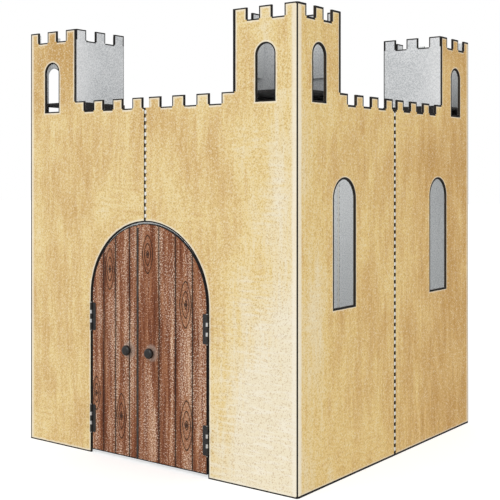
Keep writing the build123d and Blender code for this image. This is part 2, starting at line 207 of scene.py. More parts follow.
# %% Arched openings
JAMB_GAP = 5 * MM
arch_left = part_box("left_door")[0][0] - JAMB_GAP
arch_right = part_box("right_door")[1][0] + JAMB_GAP
arch_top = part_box("right_door")[1][2] + JAMB_GAP
arch_half = (arch_right - arch_left) / 2
DOORWAY = SimpleNamespace(middle=(arch_left + arch_right) / 2, half=arch_half, sill=-1.0,
                          spring=arch_top - arch_half)
WINDOW = SimpleNamespace(middle=273 * MM, half=65 * MM, sill=560 * MM, spring=912 * MM)
SLIT = SimpleNamespace(middle=122 * MM, half=35 * MM, sill=1225 * MM, spring=1368 * MM)
print("doorway", DOORWAY)

# %% [markdown]
# ## Crayon on card
# Crayon lies in strokes about a centimetre wide. It catches only the tops of the paper's tooth, which
# leaves specks. A noise texture that is drawn out one way gives the strokes, and a fine even noise
# gives the tooth. An image could hold both, but noise works at any distance and follows every wall.

# %% Strokes and tooth
WANDER = 17 * MM          # how far a stroke strays from straight
WANDER_SCALE = 5.0        # and it does so about every 200 mm


def strokes(tree, across, along, size, seed):
    """Noise drawn out into strokes. size is a stroke's width and length in metres."""
    width, length = size
    paper = add(tree, XYZ, (across, along, seed))
    slow = add(tree, VECTOR, {0: paper, "Scale": WANDER_SCALE}, operation="SCALE")
    sway = add(tree, NOISE, {"Vector": slow, "Scale": 1.0, "Detail": 1.0})
    bent = add(tree, MATH, (sway, WANDER, across), operation="MULTIPLY_ADD")
    paper = add(tree, XYZ, (bent, along, seed))
    drawn = add(tree, VECTOR, (paper, (1 / width, 1 / length, 1.0)), operation="MULTIPLY")
    return add(tree, NOISE, {"Vector": drawn, "Scale": 1.0, "Detail": 3.0, "Roughness": 0.6})


def tooth(tree, place, size, seed):
    """The paper's tooth: fine even noise of one size in metres."""
    moved = add(tree, VECTOR, (place, (seed, seed, seed)), operation="ADD")
    return add(tree, NOISE, {"Vector": moved, "Scale": 1 / size, "Detail": 2.0, "Roughness": 0.7})


def patch(tree, *ranges):
    """A soft-edged patch, 1 inside it. A range is a measure, where it is outside and where inside."""
    inside = 1.0
    for measure, start, end in ranges:
        share = add(tree, FADE, (measure, start, end), **SOFT)
        inside = add(tree, MATH, (inside, share), operation="MULTIPLY")
    return inside


print("strokes stray by", WANDER, "m")

# %% Where a point lies on a sheet


def spot(tree, place, sheet):
    """A point's measures: x and z, the way along the walls, and how far from the corner's fold."""
    low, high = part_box(sheet)
    x, y, z = add(tree, SPLIT, (place,), out=EVERY)
    mirrored = add(tree, VECTOR, (place,), operation="ABSOLUTE")
    far_x, far_y, _ = add(tree, SPLIT, (mirrored,), out=EVERY)
    both = add(tree, MATH, (far_x, far_y), operation="ADD")
    ends = add(tree, MATH, (far_y, HALF - SKIN), operation="GREATER_THAN")   # front or rear wall
    widths = [(high[i] - low[i] + SEAM_GAP / 2 - TOWER) / WALL_COLUMNS for i in (0, 1)]
    reach = add(tree, FADE, (ends, 0.0, 1.0, high[1] - low[1], high[0] - low[0]))
    return SimpleNamespace(
        x=x, z=z, ends=ends, reach=reach,
        along=add(tree, MATH, (x, y), operation="ADD"),
        from_corner=add(tree, MATH, (2 * HALF, both), operation="SUBTRACT"),
        outmost=add(tree, MATH, (far_x, far_y), operation="MAXIMUM"),
        inmost=add(tree, MATH, (far_x, far_y), operation="MINIMUM"),
        column=add(tree, FADE, (ends, 0.0, 1.0, widths[1], widths[0])))


print("a wall's merlons are about", (HALF - TOWER) / WALL_COLUMNS, "m wide")

# %% [markdown]
# ## Distance to the cut edges
# An arch is a half circle over a straight-sided hole, so one length gives the distance to it. A
# battlement is a row of columns that are high and low by turns, so the distance to it comes from the
# column that a point is in.

# %% Arches and battlements


def past_arch(tree, along, up, arch):
    """Distance outside an arched opening, with along measured from the corner or from x = 0."""
    across = add(tree, MATH, (along, arch.middle), operation="SUBTRACT")
    above = add(tree, MATH, (up, arch.spring), operation="SUBTRACT")
    rise = add(tree, MATH, (above, 0.0), operation="MAXIMUM")
    ray = add(tree, XYZ, (across, rise, 0.0))
    radius = add(tree, VECTOR, (ray,), out="Value", operation="LENGTH")
    side = add(tree, MATH, (radius, arch.half), operation="SUBTRACT")
    below = add(tree, MATH, (arch.sill, up), operation="SUBTRACT")
    return add(tree, MATH, (side, below), operation="MAXIMUM")


def under_battlement(tree, along, up, start, column, top, depth, joined=False):
    """Distance to a notched edge. joined says that its first merlon runs on into a tower or a fold."""
    offset = add(tree, MATH, (along, start), operation="SUBTRACT")
    count = add(tree, MATH, (offset, column), operation="DIVIDE")
    whole = add(tree, MATH, (count,), operation="FLOOR")
    left = part = add(tree, MATH, (count, whole), operation="SUBTRACT")
    if joined:
        first = add(tree, MATH, (whole, 0.5), operation="LESS_THAN")
        left = add(tree, MATH, (part, first), operation="ADD")
    right = add(tree, MATH, (1.0, part), operation="SUBTRACT")
    near = add(tree, MATH, (left, right), operation="MINIMUM")
    low_part = add(tree, MATH, (up, top - depth), operation="LESS_THAN")
    side = add(tree, MATH, (near, column, low_part), operation="MULTIPLY_ADD")
    odd = add(tree, MATH, (whole, 2.0), operation="FLOORED_MODULO")
    notched = add(tree, MATH, (whole, BARE_COLUMNS), operation="GREATER_THAN")
    notch = add(tree, MATH, (odd, notched), operation="MULTIPLY")
    edge = add(tree, MATH, (notch, -depth, top), operation="MULTIPLY_ADD")
    below = add(tree, MATH, (edge, up), operation="SUBTRACT")
    return add(tree, MATH, (below, side), operation="MINIMUM")


print("a tower's merlons are", TOWER / TOWER_COLUMNS, "m wide")

# %% The nearest edge of a sheet


def tower_edge(tree, at):
    """Distance to the edges of the sheet's part that stands up as a tower."""
    top = under_battlement(tree, at.from_corner, at.z, 0.0, TOWER / TOWER_COLUMNS, TOWER_TOP, TOWER_NOTCH,
                           joined=True)
    low_part = add(tree, MATH, (at.z, WALL_TOP), operation="LESS_THAN")
    to_side = add(tree, MATH, (TOWER, at.from_corner), operation="SUBTRACT")
    side = add(tree, MATH, (to_side, low_part), operation="ADD")
    slit = past_arch(tree, at.from_corner, at.z, SLIT)
    edge = add(tree, MATH, (top, side), operation="MINIMUM")
    return add(tree, MATH, (edge, slit), operation="MINIMUM")


def edge_distance(tree, at, tower, front):
    """Distance from a point of the outer face to the nearest cut edge, in metres."""
    edge = under_battlement(tree, at.from_corner, at.z, TOWER, at.column, WALL_TOP, NOTCH, joined=tower)
    if tower:
        on_tower = add(tree, MATH, (at.from_corner, TOWER), operation="LESS_THAN")
        edge = add(tree, MIX, {0: on_tower, 2: edge, 3: tower_edge(tree, at)})
    window = past_arch(tree, at.from_corner, at.z, WINDOW)
    window = add(tree, MATH, (window, at.ends), operation="ADD")      # only the side walls have windows
    for other in (at.z, window):
        edge = add(tree, MATH, (edge, other), operation="MINIMUM")
    if front:
        sides = add(tree, MATH, (1.0, at.ends), operation="SUBTRACT")
        door = past_arch(tree, at.x, at.z, DOORWAY)
        door = add(tree, MATH, (door, sides), operation="ADD")
        edge = add(tree, MATH, (edge, door), operation="MINIMUM")
    return edge


print("windows begin", WINDOW.sill, "m up")

# %% [markdown]
# ## The walls' colouring
# The card is brown kraft under tan, ochre and white wax crayon. Most strokes stand upright, and some
# places are hatched level. The near corner and the foot of the front are paler, and the far end of the
# side walls and the left tower are darker, which is painted shade.

# %% Crayon tones
OCHRE = rgb("#b9914f")
TAN_DARK = rgb("#cba262")
TAN = rgb("#dfbd80")
TAN_LIGHT = rgb("#efd698")
CREAM = rgb("#f6ebcf")
CHALK = rgb("#fdf6e4")
SIDE_TINT = rgb("#fef8ea")          # a little more orange wax on the side walls
STROKE = (13 * MM, 150 * MM)        # width and length
HATCH = (11 * MM, 90 * MM)
SWEEP = (85 * MM, 380 * MM)
WALL_TOOTH = 4.6 * MM               # real tooth is finer, and this is as coarse as it needs to show
PRESS_SCALE = 4.5                   # the hand presses harder about every 220 mm
TOWER_SHIFT = 0.12                  # a tower counts as lying this much farther from the fold

# paler places and places of painted shade: where each starts and where it is full, in metres
NEAR_CORNER = (0.30, 0.0)
FOOT_LEFT, FOOT_RIGHT, FOOT_UP = (-0.42, -0.18), (0.03, -0.02), (0.95, 0.1)
SHADED_FAR_END = (0.50, 1.15)
SHADED_LEFT_TOWER = (-0.96, -1.0)
TOWER_FOOT = (WALL_TOP - 0.08, WALL_TOP)


def crayon(tree, place, at, grain):
    """The crayon's colour before any ink: strokes, hatching, pressure of the hand and tooth."""
    upright = strokes(tree, at.along, at.z, STROKE, seed=3.0)
    sweep = strokes(tree, at.along, at.z, SWEEP, seed=7.0)
    level = strokes(tree, at.z, at.along, HATCH, seed=11.0)
    press = add(tree, NOISE, {"Vector": place, "Scale": PRESS_SCALE, "Detail": 2.0})
    turned = add(tree, FADE, (press, 0.54, 0.64), **SOFT)
    marks = add(tree, MIX, {0: turned, 2: upright, 3: level})

    above = add(tree, MATH, (at.z, WALL_TOP), operation="GREATER_THAN")
    off_corner = add(tree, MATH, (at.along,), operation="ABSOLUTE")
    off_corner = add(tree, MATH, (above, TOWER_SHIFT, off_corner), operation="MULTIPLY_ADD")
    pale_corner = patch(tree, (off_corner, *NEAR_CORNER))
    pale_foot = patch(tree, (at.along, *FOOT_LEFT), (at.along, *FOOT_RIGHT), (at.z, *FOOT_UP))
    # painted shade: darker at the far end of the side walls and on the left tower
    far_end_shade = patch(tree, (at.along, *SHADED_FAR_END))
    left_tower_shade = patch(tree, (at.along, *SHADED_LEFT_TOWER), (at.z, *TOWER_FOOT))
    tone = 0.0
    for part, share in ((marks, 0.30), (sweep, 0.34), (press, 0.24), (grain, 0.12), (pale_corner, 0.11),
                        (pale_foot, 0.24), (far_end_shade, -0.10), (left_tower_shade, -0.12)):
        tone = add(tree, MATH, (part, share, tone), operation="MULTIPLY_ADD")
    shares = ((0.34, TAN_DARK), (0.45, TAN), (0.56, TAN_LIGHT), (0.72, CREAM))
    colour = TAN_DARK
    for (start, _), (end, coat) in zip(shares, shares[1:]):
        share = add(tree, FADE, (tone, start, end))
        colour = coated(tree, colour, (share, coat))
    sides = add(tree, FADE, (at.ends, 1.0, 0.0))
    colour = add(tree, MIX, {0: sides, 6: colour, 7: SIDE_TINT}, out=2,
                 data_type="RGBA", blend_type="MULTIPLY")
    hatching = add(tree, FADE, (level, 0.50, 0.60, 0.0, 0.75), **SOFT)
    hatching = add(tree, MATH, (hatching, pale_foot), operation="MULTIPLY")
    specks = add(tree, FADE, (grain, 0.53, 0.64, 0.0, 0.52), **SOFT)
    pits = add(tree, FADE, (grain, 0.47, 0.34, 0.0, 0.50), **SOFT)
    return coated(tree, colour, (hatching, CHALK), (specks, CREAM), (pits, OCHRE))


print("crayon strokes", STROKE[0], "m wide, tooth", WALL_TOOTH, "m")

# %% [markdown]
# ## Ink, fold and cut edge
# A marker was run along every edge by hand, so its line shakes a little, and the wax stops short of
# it; beside the fold that bare margin is widened into a painted highlight on the crease. At the folded
# corner the line is thinner. The cut edge shows the wavy flute between two liners, with painted shade
# in the hollow channels between them, which gives corrugated card away at a glance.

# %% Ink and edges
INK_LINE = 4.4 * MM
INK_FADE = (INK_LINE + 0.8 * MM, INK_LINE - 0.4 * MM)     # where the ink starts and where it is full
SIDE_INK = 2.2 * MM                 # more on the side walls, where the marker was blunter
SEAM_LINE = 5.5 * MM                # inked on each sheet beside the seam, a little past the stitches
PALE_MARGIN = 13 * MM
FOLD_ARC = 5.2 * MM                 # where the middle of the rounded fold lies, by this measure
FOLD_FADE = (FOLD_ARC + 0.9 * MM, FOLD_ARC + 0.5 * MM)
FOLD_FLAT = FOLD_ARC + 3.9 * MM
FAR_FOLD = 4.5 * MM                 # more ink at the front left and rear right folds
# painted highlight: the bare margin beside the fold is widened, for light along the crease
FOLD_HIGHLIGHT_SPREAD = 0.6                   # below 1, the pale margin is wider beside the fold
SHAKE = 1.6 * MM                    # how far the marker's line shakes
SHAKE_SCALE = 60.0                  # and it does so about every 17 mm
WAX_SHAKE = 7 * MM                  # how unevenly the wax stops
FLUTE = 7.5 * MM                    # from one wave of the corrugation to the next
FLUTE_SWING = 0.34                  # how far the flute swings to each side, in card thicknesses
FLUTE_HALF = 0.55 * MM              # half the thickness that it shows
LINER = 0.6 * MM
FLUTE_PAPER = rgb("#4a3d2d")


def ink_and_margin(tree, place, at, edge):
    """How much ink and how much bare margin lie at a point."""
    off_corner = add(tree, MATH, (at.along,), operation="ABSOLUTE")
    hand = add(tree, NOISE, {"Vector": place, "Scale": SHAKE_SCALE, "Detail": 2.0})
    swing = add(tree, MATH, (hand, 0.5), operation="SUBTRACT")
    ragged = add(tree, MATH, (swing, WAX_SHAKE, edge), operation="MULTIPLY_ADD")
    # the fold gets a bare margin too, wider there as a painted highlight
    past_fold = add(tree, MATH, (at.from_corner, FOLD_ARC), operation="SUBTRACT")
    past_fold = add(tree, MATH, (past_fold, FOLD_HIGHLIGHT_SPREAD), operation="MULTIPLY")
    bare = add(tree, MATH, (ragged, past_fold), operation="MINIMUM")
    margin = add(tree, FADE, (bare, PALE_MARGIN, 0.45 * PALE_MARGIN, 0.0, 0.68), **SOFT)
    line = add(tree, MATH, (swing, SHAKE, edge), operation="MULTIPLY_ADD")
    blunt = add(tree, FADE, (at.ends, 1.0, 0.0, 0.0, SIDE_INK))
    line = add(tree, MATH, (line, blunt), operation="SUBTRACT")
    to_seam = add(tree, MATH, (at.reach, at.from_corner), operation="SUBTRACT")
    ink = add(tree, FADE, (line, *INK_FADE), **SOFT)
    far_corner = patch(tree, (off_corner, 0.7, 1.0))
    off_fold = add(tree, MATH, (far_corner, -FAR_FOLD, at.from_corner), operation="MULTIPLY_ADD")
    fold = add(tree, FADE, (off_fold, *FOLD_FADE))
    seam = add(tree, MATH, (to_seam, SEAM_LINE), operation="LESS_THAN")
    for other in (fold, seam):
        ink = add(tree, MATH, (ink, other), operation="MAXIMUM")
    return ink, margin


def fluted_edge(tree, at):
    """The cut edge: two liners with the wavy flute between them, and painted shade in the channels."""
    depth = add(tree, MATH, (HALF - CARD / 2, at.outmost), operation="SUBTRACT")    # from the middle
    turn = add(tree, MATH, (at.along, 2 * math.pi / FLUTE), operation="MULTIPLY")
    wave = add(tree, MATH, (turn,), operation="SINE")
    middle = add(tree, MATH, (wave, CARD * FLUTE_SWING), operation="MULTIPLY")
    flute = add(tree, MATH, (depth, middle, FLUTE_HALF), operation="COMPARE")
    from_middle = add(tree, MATH, (depth,), operation="ABSOLUTE")
    liner = add(tree, MATH, (from_middle, CARD / 2 - LINER), operation="GREATER_THAN")
    paper = add(tree, MATH, (flute, liner), operation="MAXIMUM")
    # painted shade: the hollow channels between flute and liners are ink black
    return coated(tree, INK, (paper, FLUTE_PAPER))


print("ink line", INK_LINE, "m, flute", FLUTE, "m")

# %% The grey inside
GREY_LOW = rgb("#d9dcdd")
GREY_HIGH = rgb("#fafbfb")


def grey_inside(tree, at, grain):
    """The card's plain grey lining, with the inked free edge of each glued flap."""
    light = add(tree, FADE, (grain, 0.35, 0.65), **SOFT)
    depth = add(tree, MATH, (HALF, at.inmost), operation="SUBTRACT")
    flap = add(tree, MATH, (depth, TOWER - CARD / 2, CARD / 2 - SKIN), operation="COMPARE")
    above = add(tree, MATH, (at.z, WALL_TOP), operation="GREATER_THAN")
    beyond = add(tree, MATH, (at.outmost, HALF - CARD - 5 * SKIN), operation="LESS_THAN")
    for other in (above, beyond):
        flap = add(tree, MATH, (flap, other), operation="MULTIPLY")
    return coated(tree, GREY_LOW, (light, GREY_HIGH), (flap, INK))


print("lining", GREY_LOW[:3], "to", GREY_HIGH[:3])

# %% The four wall sheets


def crayoned_card(sheet, tower, front):
    """Wax crayon on kraft liner: matt, with the tooth standing a third of a millimetre proud."""
    material, tree, place = new_material("crayoned_card_" + sheet)
    at = spot(tree, place, sheet)
    grain = tooth(tree, place, WALL_TOOTH, seed=5.0)
    colour = crayon(tree, place, at, grain)
    ink, margin = ink_and_margin(tree, place, at, edge_distance(tree, at, tower, front))
    behind_face = add(tree, MATH, (at.outmost, HALF - SKIN), operation="LESS_THAN")
    off_fold = add(tree, MATH, (at.from_corner, FOLD_FLAT), operation="GREATER_THAN")
    cut = add(tree, MATH, (behind_face, off_fold), operation="MULTIPLY")
    inside = add(tree, MATH, (at.outmost, HALF - CARD + SKIN), operation="LESS_THAN")
    colour = coated(tree, colour, (margin, CHALK), (ink, INK), (cut, fluted_edge(tree, at)),
                    (inside, grey_inside(tree, at, grain)))
    close_material(tree, colour, 0.85, grain, 0.3 * MM, **PAPER_SHINE)
    put(material, sheet)


for sheet, tower, front in (("front_left_sheet", True, True), ("front_right_sheet", True, True),
                            ("rear_right_sheet", True, False), ("rear_left_sheet", False, False)):
    crayoned_card(sheet, tower, front)

# %% [markdown]
# ## Grey and dark card
# The towers' inner sides are grey lined card, shaded with a soft pencil and inked along their edges.
# The floor under each tower is black lined card, coloured as painted shade for the dark inside the towers.
# Both are matt paper, so a soft mottling carries them.

# %% Pencilled card
PENCIL_GRAIN = 4.2 * MM             # drawn coarser than real graphite grain, so that it shows
SHADING_SCALE = 6.0                 # the shading changes about every 170 mm
WHITE = rgb("#ffffff")


def mottled(tree, place, dark, light):
    """Pencil shading: fine grain over slow changes of the hand."""
    grain = tooth(tree, place, PENCIL_GRAIN, seed=2.0)
    slow = add(tree, NOISE, {"Vector": place, "Scale": SHADING_SCALE, "Detail": 1.0})
    tone = add(tree, MIX, {0: 0.2, 2: grain, 3: slow})
    share = add(tree, FADE, (tone, 0.36, 0.62), **SOFT)
    return grain, coated(tree, dark, (share, light))


def matt_card(name, dark, light, *pieces):
    """Lined card with nothing drawn on it: no gloss, faint mottling."""
    material, tree, place = new_material(name)
    grain, colour = mottled(tree, place, rgb(dark), rgb(light))
    close_material(tree, colour, 0.85, grain, 0.2 * MM, **PAPER_SHINE)
    put(material, *pieces)


CORNERS = ("front_left", "front_right", "rear_right")
# painted shade: the towers' floors are near black, for the dark inside seen through the notches and windows
matt_card("painted_shade_black_card", "#1f1e1e", "#343333", *[corner + "_tower_floor" for corner in CORNERS])
# painted shade: the strip behind the doors' meeting gap is dark brown, for the shade in that gap
matt_card("painted_shade_dark_strip", "#2c2826", "#514b47", "door_meeting_strip")

# %% The towers' inner panels


def pencilled_panel(*pieces):
    """Grey card shaded with pencil, lighter towards the wall, with inked edges."""
    material, tree, place = new_material("pencilled_grey_card")
    grain, colour = mottled(tree, place, rgb("#c3c6c8"), rgb("#f2f3f4"))
    mirrored = add(tree, VECTOR, (place,), operation="ABSOLUTE")
    inward = add(tree, VECTOR, ((HALF, HALF, 0.0), mirrored), operation="SUBTRACT")
    from_x, from_y, _ = add(tree, SPLIT, (inward,), out=EVERY)
    _, _, z = add(tree, SPLIT, (place,), out=EVERY)
    depth = add(tree, MATH, (from_x, from_y), operation="MAXIMUM")
    across = add(tree, MATH, (from_x, from_y), operation="MINIMUM")
    pale = add(tree, FADE, (across, 0.55 * TOWER, 0.05 * TOWER, 0.0, 0.35), **SOFT)
    top = under_battlement(tree, across, z, 0.0, TOWER / TOWER_COLUMNS, TOWER_TOP, TOWER_NOTCH)
    side = add(tree, MATH, (TOWER + CARD, across), operation="SUBTRACT")
    edge = add(tree, MATH, (top, side), operation="MINIMUM")
    line = add(tree, FADE, (edge, *INK_FADE), **SOFT)
    cut = add(tree, MATH, (depth, TOWER + CARD / 2, CARD / 2 - SKIN), operation="COMPARE")
    ink = add(tree, MATH, (line, cut), operation="MAXIMUM")
    colour = coated(tree, colour, (pale, WHITE), (ink, INK))
    close_material(tree, colour, 0.85, grain, 0.2 * MM, **PAPER_SHINE)
    put(material, *pieces)


pencilled_panel(*[corner + "_tower_panel" for corner in CORNERS])

# %% [markdown]
# ## Door card
# The doors are card too. Their planks are drawn with a pen and coloured with brown crayons, darker
# along some strokes, and heavily speckled, because the wax was rubbed on dry. Real planks would stand
# apart, but these are drawn, so they stay flat. A knot is a nest of pointed ovals.

# %% Planks and knots
PLANK_LINES = (-220, -162, -95, 42, 116, 190)        # across the doorway, millimetres
PLANK_SWAY = 8 * MM
SWAY_SCALE = 3.0                                     # the pen sways about every 330 mm
PLANK_PEN = 2.9 * MM                                 # half the line's width
KNOTS = ((-190, 660, 26, 88), (-256, 215, 22, 72), (-133, 150, 27, 95), (-10, 720, 28, 80),
         (160, 560, 30, 95), (165, 160, 33, 100))    # x, z, half width, half height, millimetres
KNOT_SHAPE = (1.7, 1.45)                             # powers across and up, where 1 is a diamond
KNOT_PUSH = 0.12                                     # how far the streaks push a knot out of true
KNOT_HEART = 0.10                                    # the inked middle, as a part of the knot
RINGS = 3
RING_POWER = 0.62                                    # undoes those powers, so that rings lie evenly
KNOT_PEN = 2.4 * MM                                  # half the line's width


def plank_lines(tree, x, z):
    """The pen lines between the planks, swaying with the hand, and painted shade beside them."""
    height = add(tree, MATH, (z, SWAY_SCALE), operation="MULTIPLY")
    rail = add(tree, XYZ, (0.0, 0.0, height))
    sway = add(tree, NOISE, {"Vector": rail, "Scale": 1.0})
    swung = add(tree, MATH, (sway, PLANK_SWAY, x), operation="MULTIPLY_ADD")
    centred = add(tree, MATH, (swung, PLANK_SWAY / 2), operation="SUBTRACT")
    nearest = 1.0
    for line in PLANK_LINES:
        offset = add(tree, MATH, (centred, line * MM), operation="SUBTRACT")
        gap = add(tree, MATH, (offset,), operation="ABSOLUTE")
        nearest = add(tree, MATH, (nearest, gap), operation="MINIMUM")
    lines = add(tree, FADE, (nearest, PLANK_PEN, 0.5 * PLANK_PEN, 0.0, 0.95), **SOFT)
    # painted shade: darker beside each plank line, as between real planks
    shading = add(tree, FADE, (nearest, 16 * MM, 2 * MM, 0.0, 0.42), **SOFT)
    return lines, shading


def knot_rings(tree, x, z, streaks):
    """Nested pointed ovals, pushed about a little by the streaks, and the area that they cover."""
    rings = area = 0.0
    door = add(tree, XYZ, (x, z, 0.0))
    push = add(tree, MATH, (streaks, KNOT_PUSH, -KNOT_PUSH / 2), operation="MULTIPLY_ADD")
    for knot_x, knot_z, half_x, half_z in KNOTS:
        offset = add(tree, VECTOR, (door, (knot_x * MM, knot_z * MM, 0.0)), operation="SUBTRACT")
        scaled = add(tree, VECTOR, (offset, (half_x * MM, half_z * MM, 1.0)), operation="DIVIDE")
        size = add(tree, VECTOR, (scaled,), operation="ABSOLUTE")
        across, up, _ = add(tree, SPLIT, (size,), out=EVERY)
        wide = add(tree, MATH, (across, KNOT_SHAPE[0]), operation="POWER")
        tall = add(tree, MATH, (up, KNOT_SHAPE[1]), operation="POWER")
        oval = add(tree, MATH, (wide, tall), operation="ADD")
        oval = add(tree, MATH, (oval, push), operation="ADD")
        reach = add(tree, MATH, (oval, RING_POWER), operation="POWER")
        turns = add(tree, MATH, (reach, RINGS), operation="MULTIPLY")
        wave = add(tree, MATH, (turns, 0.5), operation="PINGPONG")
        off_ring = add(tree, MATH, (0.5, wave), operation="SUBTRACT")
        both = add(tree, MATH, (across, up), operation="ADD")
        lean = add(tree, MATH, (up, both), operation="DIVIDE")
        scale = add(tree, FADE, (lean, 0.0, 1.0, half_x * MM / RINGS, half_z * MM / RINGS))
        gap = add(tree, MATH, (off_ring, scale), operation="MULTIPLY")
        ring = add(tree, MATH, (gap, KNOT_PEN), operation="LESS_THAN")
        within = add(tree, MATH, (reach, 1.0), operation="LESS_THAN")
        heart = add(tree, MATH, (reach, KNOT_HEART), operation="LESS_THAN")
        ring = add(tree, MATH, (ring, within), operation="MULTIPLY")
        for mark in (ring, heart):
            rings = add(tree, MATH, (rings, mark), operation="MAXIMUM")
        area = add(tree, MATH, (area, within), operation="MAXIMUM")
    return rings, area


print(len(PLANK_LINES) + 1, "planks and", len(KNOTS), "knots")

# %% The doors' material
BROWNS = ((0.38, rgb("#5a2e1a")), (0.46, rgb("#824c31")), (0.54, rgb("#a56f4d")), (0.64, rgb("#cb9f7c")))
STREAK = (13 * MM, 260 * MM)
BAND = (40 * MM, 700 * MM)
DOOR_TOOTH = 4.8 * MM
SPECK = rgb("#eed9c5")
# dark brown for the tooth's pits and for the painted shade beside the plank lines
PIT_AND_SHADE_BROWN = rgb("#4a2718")
KNOT_INK = rgb("#2c1e18")
RUBBED = rgb("#b9a294")           # where a thumb rubbed the wax round a knob
DOOR_RIM = 3.5 * MM


def door_ink(tree, x, z):
    """The marker's line round the doors: under the arch and along the foot."""
    leaf = SimpleNamespace(middle=DOORWAY.middle, half=DOORWAY.half - JAMB_GAP, sill=-1.0,
                           spring=DOORWAY.spring)
    rim = add(tree, MATH, (past_arch(tree, x, z, leaf), -DOOR_RIM), operation="GREATER_THAN")
    foot = add(tree, MATH, (z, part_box("left_door")[0][2] + DOOR_RIM), operation="LESS_THAN")
    return add(tree, MATH, (rim, foot), operation="MAXIMUM")


def rubbed_round_knobs(tree, x, z):
    """A pale ring in the wax round each knob."""
    ring = 0.0
    for side in ("left", "right"):
        knob_x, _, knob_z = middle_of(side + "_knob")
        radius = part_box(side + "_knob")[1][0] - knob_x
        door = add(tree, XYZ, (x, 0.0, z))
        away = add(tree, VECTOR, (door, (knob_x, 0.0, knob_z)), out="Value", operation="DISTANCE")
        pale = add(tree, FADE, (away, 1.9 * radius, 1.2 * radius, 0.0, 0.6), **SOFT)
        ring = add(tree, MATH, (ring, pale), operation="MAXIMUM")
    return ring


print("rim line", DOOR_RIM, "m")

# %% Coats of brown


def planked_card(*pieces):
    """Brown crayon rubbed dry over card: matt, streaked and speckled; grey behind, inked at the rim."""
    material, tree, place = new_material("brown_crayoned_door_card")
    x, y, z = add(tree, SPLIT, (place,), out=EVERY)
    streaks = strokes(tree, x, z, STREAK, seed=21.0)
    bands = strokes(tree, x, z, BAND, seed=25.0)
    grain = tooth(tree, place, DOOR_TOOTH, seed=9.0)
    tone = 0.0
    for part, share in ((streaks, 0.40), (bands, 0.38), (grain, 0.22)):
        tone = add(tree, MATH, (part, share, tone), operation="MULTIPLY_ADD")
    colour = BROWNS[0][1]
    for (start, _), (end, coat) in zip(BROWNS, BROWNS[1:]):
        share = add(tree, FADE, (tone, start, end))
        colour = coated(tree, colour, (share, coat))
    drift = add(tree, FADE, (bands, 0.36, 0.60, 0.62, 0.50), **SOFT)
    catch = add(tree, MATH, (grain, drift), operation="SUBTRACT")
    rings, area = knot_rings(tree, x, z, streaks)
    calm = add(tree, FADE, (area, 0.0, 1.0, 0.78, 0.28))
    specks = add(tree, FADE, (catch, 0.01, 0.09), **SOFT)
    specks = add(tree, MATH, (specks, calm), operation="MULTIPLY")
    pits = add(tree, FADE, (grain, 0.45, 0.35, 0.0, 0.55), **SOFT)
    lines, shading = plank_lines(tree, x, z)
    knots = add(tree, MATH, (rings, 0.9), operation="MULTIPLY")
    off_front = add(tree, MATH, (y, -HALF + SKIN), operation="GREATER_THAN")
    back = add(tree, MATH, (y, -HALF + CARD - SKIN), operation="GREATER_THAN")
    # painted shade beside the plank lines and the tooth's pits are both dark brown
    colour = coated(tree, colour, (shading, PIT_AND_SHADE_BROWN), (specks, SPECK), (pits, PIT_AND_SHADE_BROWN),
                    (rubbed_round_knobs(tree, x, z), RUBBED), (knots, KNOT_INK), (lines, INK),
                    (door_ink(tree, x, z), INK), (off_front, INK), (back, GREY_LOW))
    close_material(tree, colour, 0.8, grain, 0.3 * MM, **PAPER_SHINE)
    put(material, *pieces)


planked_card("left_door", "right_door")

# %% [markdown]
# ## Metal, plastic and tape
# The hinge plates are steel, stamped and painted black. The wall straps and pins are bright zinc over
# steel, the knobs are turned and lacquered black, and the jamb's rivets are painted tan to hide in the
# wall. Paint and zinc both have a slight orange peel, which a fine grain in roughness and bump gives.

# %% Small hardware
PEEL_TONE = 0.82          # the darker tone of the orange peel, as a part of the lighter
PEEL_GLOSS = 0.06         # how much it changes the roughness each way


def hardware(name, code, roughness, metallic, grain_size, grain_depth, *pieces):
    """A hard finish with a fine grain in its colour, its gloss and its bump."""
    material, tree, place = new_material(name)
    grain = tooth(tree, place, grain_size, seed=4.0)
    light = rgb(code)
    dark = tuple(PEEL_TONE * channel for channel in light[:3]) + (1.0,)
    share = add(tree, FADE, (grain, 0.35, 0.65), **SOFT)
    gloss = add(tree, FADE, (grain, 0.3, 0.7, roughness - PEEL_GLOSS, roughness + PEEL_GLOSS))
    close_material(tree, coated(tree, dark, (share, light)), gloss, grain, grain_depth, Metallic=metallic)
    if pieces:
        put(material, *pieces)
    return material


SIDES = ("left", "right")
plates, straps, pins = ([f"{side}_{level}_hinge_{kind}" for side in SIDES for level in ("lower", "upper")]
                        for kind in ("plate", "strap", "pin"))
fasteners = [f"{side}_knob_{kind}" for side in SIDES for kind in ("screw", "washer")]
black_steel = hardware("black_painted_steel", "#1d1c1c", 0.45, 0.0, 1.2 * MM, 0.05 * MM, *plates)
hardware("zinc_plated_steel", "#d9dbdc", 0.35, 0.85, 1.5 * MM, 0.05 * MM, *straps, *pins, *fasteners)
tan_steel = hardware("tan_painted_steel", "#dfbd80", 0.5, 0.0, 1.2 * MM, 0.05 * MM)
hardware("black_knob_lacquer", "#161515", 0.30, 0.0, 2.0 * MM, 0.03 * MM, *[side + "_knob" for side in SIDES])

# %% [markdown]
# ## Repeated pieces
# Stitches and rivets are all alike, so each kind is one Geometry Nodes tree with named sizes, run over
# a few guide points. Copying objects in a loop would do as well, but a tree keeps the sizes in one
# place. The result is kept as a plain mesh, one for each body that it moves with.

# %% Trees and guides
GEOMETRY = "NodeSocketGeometry"
INSTANCE = "GeometryNodeInstanceOnPoints"
MOVE = "GeometryNodeTransform"
JOIN = "GeometryNodeJoinGeometry"


